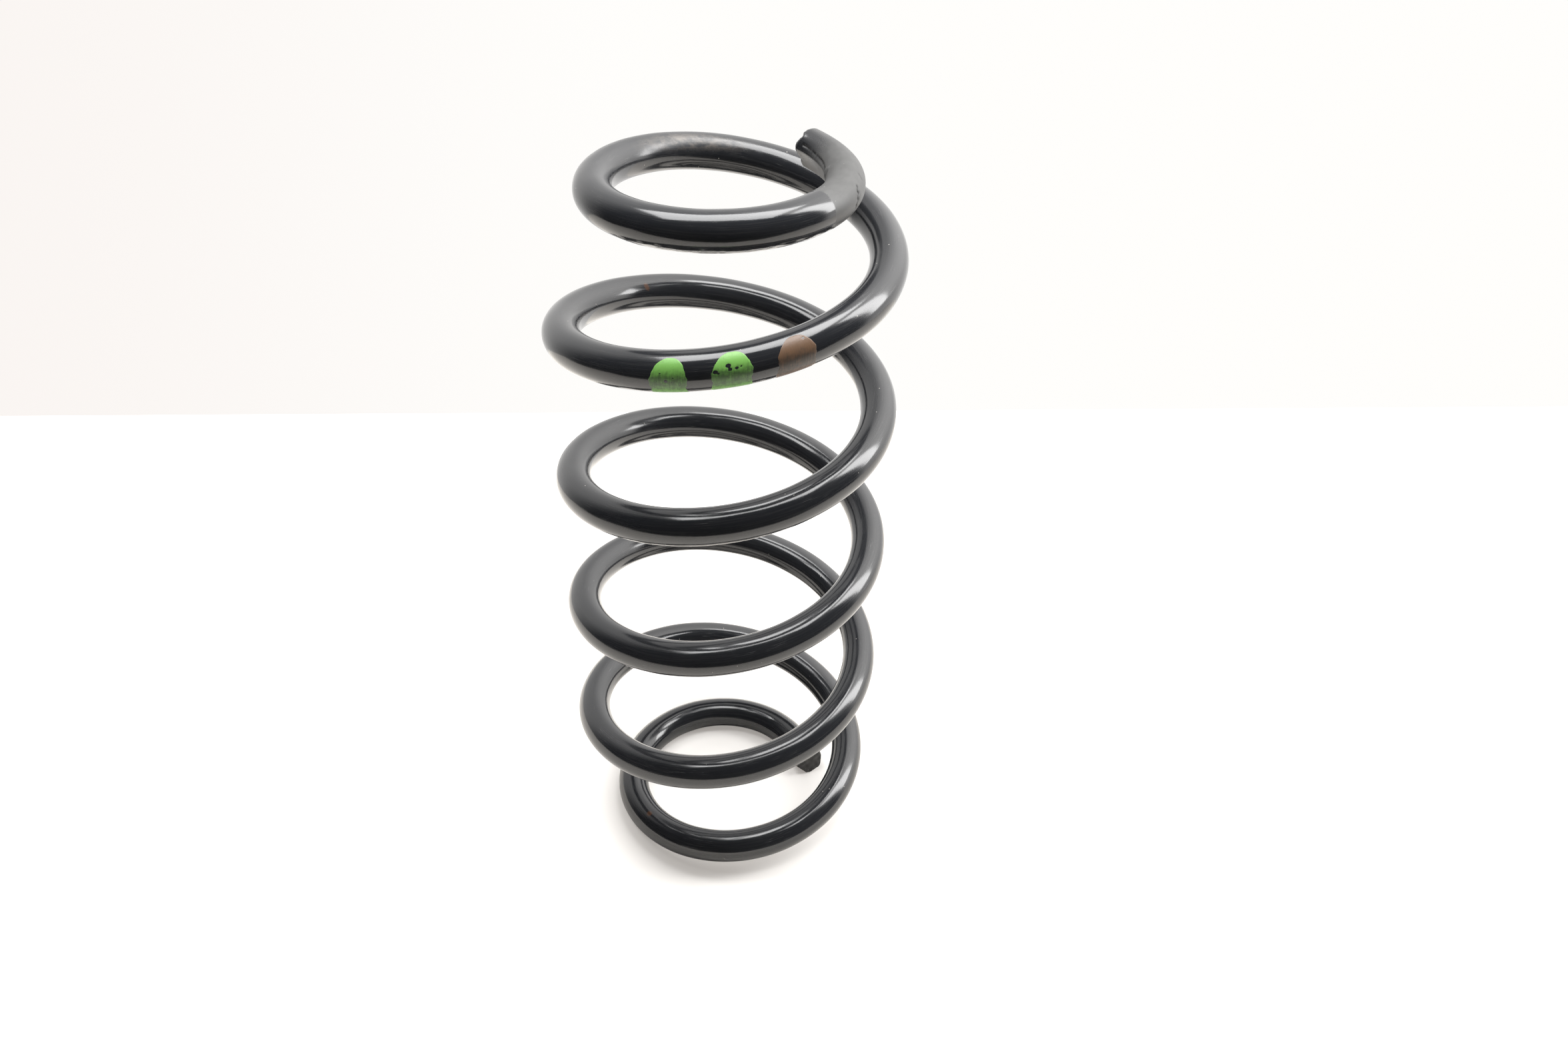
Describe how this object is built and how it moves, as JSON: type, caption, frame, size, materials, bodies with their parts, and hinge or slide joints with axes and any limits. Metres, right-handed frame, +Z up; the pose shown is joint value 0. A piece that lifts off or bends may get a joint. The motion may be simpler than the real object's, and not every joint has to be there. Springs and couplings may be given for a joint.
{
  "type": "coil spring",
  "caption": "Helical compression spring of round black-coated steel bar with small closed end coils, for a car's suspension strut; it shortens along its axis under load.",
  "frame": {"origin": "on the spring's axis, in the plane that the bottom end coil rests on", "axes": "+Z up along the spring's axis from the bottom end coil to the top end coil; -Y is the side with the paint marks; the bottom tip is near +X and the coil turns anticlockwise as it rises, seen from above"},
  "size_m": [0.134, 0.1343, 0.3097],
  "materials": {
    "black_coating": "semi-gloss black coating on spring steel, scuffed on the end coils",
    "green_paint": "brushed-on matte green paint, thin at its edges",
    "brown_paint": "brushed-on matte brown paint, half transparent"
  },
  "bodies": {
    "root": {"bottom_end_coil": "black_coating"},
    "top_end": {"top_end_coil": "black_coating"},
    "coil_1a_length": {"coil_1a": "black_coating"},
    "coil_1b_length": {"coil_1b": "black_coating"},
    "coil_1c_length": {"coil_1c": "black_coating"},
    "coil_1d_length": {"coil_1d": "black_coating"},
    "coil_1e_length": {"coil_1e": "black_coating"},
    "coil_1f_length": {"coil_1f": "black_coating"},
    "coil_2a_length": {"coil_2a": "black_coating"},
    "coil_2b_length": {"coil_2b": "black_coating"},
    "coil_2c_length": {"coil_2c": "black_coating"},
    "coil_2d_length": {"coil_2d": "black_coating"},
    "coil_2e_length": {"coil_2e": "black_coating"},
    "coil_2f_length": {"coil_2f": "black_coating"},
    "coil_3a_length": {"coil_3a": "black_coating"},
    "coil_3b_length": {"coil_3b": "black_coating"},
    "coil_3c_length": {"coil_3c": "black_coating"},
    "coil_3d_length": {"coil_3d": "black_coating"},
    "coil_3e_length": {"coil_3e": "black_coating"},
    "coil_3f_length": {"coil_3f": "black_coating"},
    "coil_4a_length": {"coil_4a": "black_coating"},
    "coil_4b_length": {"coil_4b": "black_coating"},
    "coil_4c_length": {"coil_4c": "black_coating"},
    "coil_4d_length": {"coil_4d": "black_coating"},
    "coil_4e_length": {"coil_4e": "black_coating"},
    "coil_4f_length": {"coil_4f": "black_coating"},
    "coil_5a_length": {"coil_5a": "black_coating", "green_paint_mark_left": "green_paint", "green_paint_mark_middle": "green_paint"},
    "coil_5b_length": {"coil_5b": "black_coating", "brown_paint_mark": "brown_paint"},
    "coil_5c_length": {"coil_5c": "black_coating"},
    "coil_5d_length": {"coil_5d": "black_coating"},
    "coil_5e_length": {"coil_5e": "black_coating"}
  },
  "joints": [
    {"name": "spring_travel", "type": "slide", "parent": "root", "child": "top_end", "axis": [0, 0, -1], "range_m": [0, 0.15], "stiffness_N_per_m": 47000},
    {"name": "coil_1a_drop", "type": "slide", "parent": "root", "child": "coil_1a_length", "axis": [0, 0, -1], "range_m": [0, 0.00123]},
    {"name": "coil_1b_drop", "type": "slide", "parent": "root", "child": "coil_1b_length", "axis": [0, 0, -1], "range_m": [0, 0.00478]},
    {"name": "coil_1c_drop", "type": "slide", "parent": "root", "child": "coil_1c_length", "axis": [0, 0, -1], "range_m": [0, 0.00953]},
    {"name": "coil_1d_drop", "type": "slide", "parent": "root", "child": "coil_1d_length", "axis": [0, 0, -1], "range_m": [0, 0.01493]},
    {"name": "coil_1e_drop", "type": "slide", "parent": "root", "child": "coil_1e_length", "axis": [0, 0, -1], "range_m": [0, 0.02042]},
    {"name": "coil_1f_drop", "type": "slide", "parent": "root", "child": "coil_1f_length", "axis": [0, 0, -1], "range_m": [0, 0.02592]},
    {"name": "coil_2a_drop", "type": "slide", "parent": "root", "child": "coil_2a_length", "axis": [0, 0, -1], "range_m": [0, 0.03141]},
    {"name": "coil_2b_drop", "type": "slide", "parent": "root", "child": "coil_2b_length", "axis": [0, 0, -1], "range_m": [0, 0.03691]},
    {"name": "coil_2c_drop", "type": "slide", "parent": "root", "child": "coil_2c_length", "axis": [0, 0, -1], "range_m": [0, 0.0424]},
    {"name": "coil_2d_drop", "type": "slide", "parent": "root", "child": "coil_2d_length", "axis": [0, 0, -1], "range_m": [0, 0.0479]},
    {"name": "coil_2e_drop", "type": "slide", "parent": "root", "child": "coil_2e_length", "axis": [0, 0, -1], "range_m": [0, 0.05339]},
    {"name": "coil_2f_drop", "type": "slide", "parent": "root", "child": "coil_2f_length", "axis": [0, 0, -1], "range_m": [0, 0.05888]},
    {"name": "coil_3a_drop", "type": "slide", "parent": "root", "child": "coil_3a_length", "axis": [0, 0, -1], "range_m": [0, 0.06438]},
    {"name": "coil_3b_drop", "type": "slide", "parent": "root", "child": "coil_3b_length", "axis": [0, 0, -1], "range_m": [0, 0.06987]},
    {"name": "coil_3c_drop", "type": "slide", "parent": "root", "child": "coil_3c_length", "axis": [0, 0, -1], "range_m": [0, 0.07536]},
    {"name": "coil_3d_drop", "type": "slide", "parent": "root", "child": "coil_3d_length", "axis": [0, 0, -1], "range_m": [0, 0.08086]},
    {"name": "coil_3e_drop", "type": "slide", "parent": "root", "child": "coil_3e_length", "axis": [0, 0, -1], "range_m": [0, 0.08632]},
    {"name": "coil_3f_drop", "type": "slide", "parent": "root", "child": "coil_3f_length", "axis": [0, 0, -1], "range_m": [0, 0.09182]},
    {"name": "coil_4a_drop", "type": "slide", "parent": "root", "child": "coil_4a_length", "axis": [0, 0, -1], "range_m": [0, 0.09731]},
    {"name": "coil_4b_drop", "type": "slide", "parent": "root", "child": "coil_4b_length", "axis": [0, 0, -1], "range_m": [0, 0.1028]},
    {"name": "coil_4c_drop", "type": "slide", "parent": "root", "child": "coil_4c_length", "axis": [0, 0, -1], "range_m": [0, 0.1083]},
    {"name": "coil_4d_drop", "type": "slide", "parent": "root", "child": "coil_4d_length", "axis": [0, 0, -1], "range_m": [0, 0.11379]},
    {"name": "coil_4e_drop", "type": "slide", "parent": "root", "child": "coil_4e_length", "axis": [0, 0, -1], "range_m": [0, 0.11929]},
    {"name": "coil_4f_drop", "type": "slide", "parent": "root", "child": "coil_4f_length", "axis": [0, 0, -1], "range_m": [0, 0.12478]},
    {"name": "coil_5a_drop", "type": "slide", "parent": "root", "child": "coil_5a_length", "axis": [0, 0, -1], "range_m": [0, 0.13028]},
    {"name": "coil_5b_drop", "type": "slide", "parent": "root", "child": "coil_5b_length", "axis": [0, 0, -1], "range_m": [0, 0.13577]},
    {"name": "coil_5c_drop", "type": "slide", "parent": "root", "child": "coil_5c_length", "axis": [0, 0, -1], "range_m": [0, 0.14113]},
    {"name": "coil_5d_drop", "type": "slide", "parent": "root", "child": "coil_5d_length", "axis": [0, 0, -1], "range_m": [0, 0.14572]},
    {"name": "coil_5e_drop", "type": "slide", "parent": "root", "child": "coil_5e_length", "axis": [0, 0, -1], "range_m": [0, 0.14898]}
  ],
  "couplings": [
    {"joint": "coil_1a_drop", "follows": "spring_travel", "ratio": 0.00822},
    {"joint": "coil_1b_drop", "follows": "spring_travel", "ratio": 0.03188},
    {"joint": "coil_1c_drop", "follows": "spring_travel", "ratio": 0.0635},
    {"joint": "coil_1d_drop", "follows": "spring_travel", "ratio": 0.09953},
    {"joint": "coil_1e_drop", "follows": "spring_travel", "ratio": 0.13616},
    {"joint": "coil_1f_drop", "follows": "spring_travel", "ratio": 0.17279},
    {"joint": "coil_2a_drop", "follows": "spring_travel", "ratio": 0.20941},
    {"joint": "coil_2b_drop", "follows": "spring_travel", "ratio": 0.24604},
    {"joint": "coil_2c_drop", "follows": "spring_travel", "ratio": 0.28266},
    {"joint": "coil_2d_drop", "follows": "spring_travel", "ratio": 0.31929},
    {"joint": "coil_2e_drop", "follows": "spring_travel", "ratio": 0.35592},
    {"joint": "coil_2f_drop", "follows": "spring_travel", "ratio": 0.39254},
    {"joint": "coil_3a_drop", "follows": "spring_travel", "ratio": 0.42917},
    {"joint": "coil_3b_drop", "follows": "spring_travel", "ratio": 0.4658},
    {"joint": "coil_3c_drop", "follows": "spring_travel", "ratio": 0.50242},
    {"joint": "coil_3d_drop", "follows": "spring_travel", "ratio": 0.53905},
    {"joint": "coil_3e_drop", "follows": "spring_travel", "ratio": 0.57549},
    {"joint": "coil_3f_drop", "follows": "spring_travel", "ratio": 0.61211},
    {"joint": "coil_4a_drop", "follows": "spring_travel", "ratio": 0.64874},
    {"joint": "coil_4b_drop", "follows": "spring_travel", "ratio": 0.68536},
    {"joint": "coil_4c_drop", "follows": "spring_travel", "ratio": 0.72199},
    {"joint": "coil_4d_drop", "follows": "spring_travel", "ratio": 0.75862},
    {"joint": "coil_4e_drop", "follows": "spring_travel", "ratio": 0.79524},
    {"joint": "coil_4f_drop", "follows": "spring_travel", "ratio": 0.83187},
    {"joint": "coil_5a_drop", "follows": "spring_travel", "ratio": 0.8685},
    {"joint": "coil_5b_drop", "follows": "spring_travel", "ratio": 0.90512},
    {"joint": "coil_5c_drop", "follows": "spring_travel", "ratio": 0.94088},
    {"joint": "coil_5d_drop", "follows": "spring_travel", "ratio": 0.97149},
    {"joint": "coil_5e_drop", "follows": "spring_travel", "ratio": 0.9932}
  ]
}
